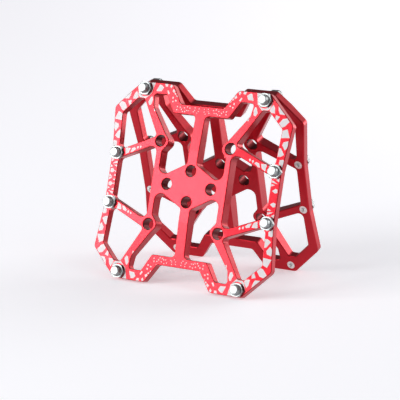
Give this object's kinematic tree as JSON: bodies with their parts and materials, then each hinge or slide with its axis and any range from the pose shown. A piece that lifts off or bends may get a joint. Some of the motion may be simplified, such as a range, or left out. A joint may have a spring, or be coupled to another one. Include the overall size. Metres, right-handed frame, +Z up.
{
  "type": "pedal platform plate pair",
  "caption": "Pair of open, flat metal plates with gripping pins that turn clip-in bicycle pedals into flat pedals, stood leaning on each other.",
  "frame": {"origin": "on the floor, midway between the two plates, under the ridge where their upper edges meet", "axes": "+X along the ridge, to the right when facing the front plate; +Y from the front plate to the rear plate; +Z up"},
  "size_m": [0.0952, 0.0692, 0.0924],
  "materials": {
    "anodised_plate": "red anodised, satin",
    "steel_pin": "bright machined steel",
    "etched_crackle": "matt, off-white laser-etched marks on the treaded faces"
  },
  "bodies": {
    "root": {"front_plate": "anodised_plate", "rear_plate": "anodised_plate", "front_side_pin_upper_right": "steel_pin", "front_side_pin_upper_left": "steel_pin", "front_side_pin_lower_right": "steel_pin", "front_side_pin_lower_left": "steel_pin", "front_corner_pin_upper_right": "steel_pin", "front_corner_pin_upper_left": "steel_pin", "front_corner_pin_lower_right": "steel_pin", "front_corner_pin_lower_left": "steel_pin", "rear_side_pin_upper_right": "steel_pin", "rear_side_pin_upper_left": "steel_pin", "rear_side_pin_lower_right": "steel_pin", "rear_side_pin_lower_left": "steel_pin", "rear_corner_pin_upper_right": "steel_pin", "rear_corner_pin_upper_left": "steel_pin", "rear_corner_pin_lower_right": "steel_pin", "rear_corner_pin_lower_left": "steel_pin"}
  },
  "joints": []
}
